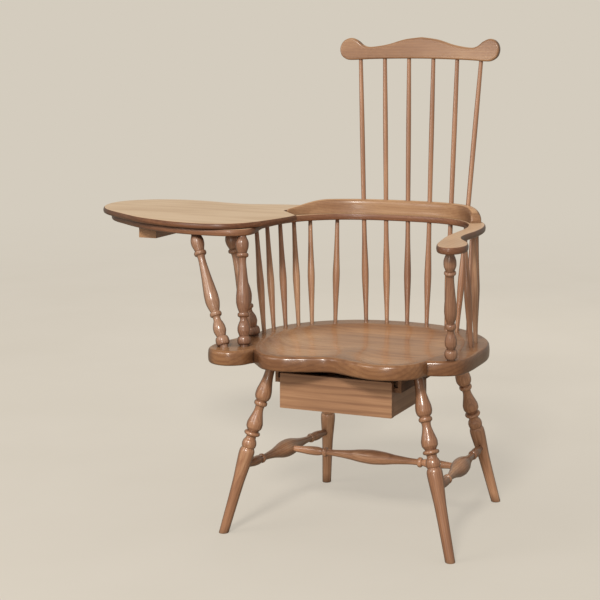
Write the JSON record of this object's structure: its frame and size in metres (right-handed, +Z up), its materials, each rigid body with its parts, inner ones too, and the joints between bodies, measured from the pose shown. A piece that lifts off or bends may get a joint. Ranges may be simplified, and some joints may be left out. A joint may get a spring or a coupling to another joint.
{
  "type": "writing-arm chair",
  "caption": "Wooden Windsor chair with a spindle comb back, turned legs and stretchers, a wide writing tablet on the sitter's right arm, and a drawer under the seat.",
  "frame": {"origin": "on the floor under the middle of the whole chair's bounding box, tablet included", "axes": "+Z up, -Y towards the front of the chair, -X towards the writing side, which is the sitter's right"},
  "size_m": [1.0962, 0.635, 1.152],
  "materials": {
    "seat_wood": "satin varnish",
    "turned_wood": "satin varnish",
    "rail_wood": "satin varnish",
    "tablet_wood": "satin varnish",
    "drawer_wood": "satin varnish",
    "hidden_wood": "bare planed wood",
    "screw_steel": "dull steel"
  },
  "bodies": {
    "chair": {"seat_plank": "seat_wood", "seat_side_extension": "seat_wood", "extension_dowel_1": "hidden_wood", "extension_dowel_2": "hidden_wood", "leg_front_left": "turned_wood", "leg_front_right": "turned_wood", "leg_rear_left": "turned_wood", "leg_rear_right": "turned_wood", "side_stretcher_left": "turned_wood", "side_stretcher_right": "turned_wood", "medial_stretcher": "turned_wood", "comb_spindle_1": "turned_wood", "comb_spindle_2": "turned_wood", "comb_spindle_3": "turned_wood", "comb_spindle_4": "turned_wood", "comb_spindle_5": "turned_wood", "comb_spindle_6": "turned_wood", "short_spindle_left_1": "turned_wood", "short_spindle_left_2": "turned_wood", "short_spindle_left_3": "turned_wood", "short_spindle_left_4": "turned_wood", "short_spindle_left_5": "turned_wood", "short_spindle_left_6": "turned_wood", "short_spindle_right_1": "turned_wood", "short_spindle_right_2": "turned_wood", "short_spindle_right_3": "turned_wood", "short_spindle_right_4": "turned_wood", "arm_post_right": "turned_wood", "writing_post_outer": "turned_wood", "writing_post_front": "turned_wood", "writing_post_rear": "turned_wood", "arm_rail_left": "rail_wood", "arm_rail_right": "rail_wood", "arm_crest": "rail_wood", "writing_tablet": "tablet_wood", "tablet_batten": "rail_wood", "arm_crest_screw_1": "screw_steel", "arm_crest_screw_2": "screw_steel", "batten_screw_1": "screw_steel", "batten_screw_2": "screw_steel", "crest_rail": "rail_wood", "drawer_runner_left": "hidden_wood", "drawer_runner_right": "hidden_wood", "drawer_stop": "hidden_wood"},
    "drawer": {"drawer_front": "drawer_wood", "drawer_side_left": "drawer_wood", "drawer_side_right": "drawer_wood", "drawer_hanger_left": "hidden_wood", "drawer_hanger_right": "hidden_wood", "drawer_back": "drawer_wood", "drawer_bottom": "hidden_wood"}
  },
  "joints": [
    {"name": "drawer_slide", "type": "slide", "parent": "chair", "child": "drawer", "axis": [0, -1, 0], "range_m": [0, 0.15]}
  ]
}
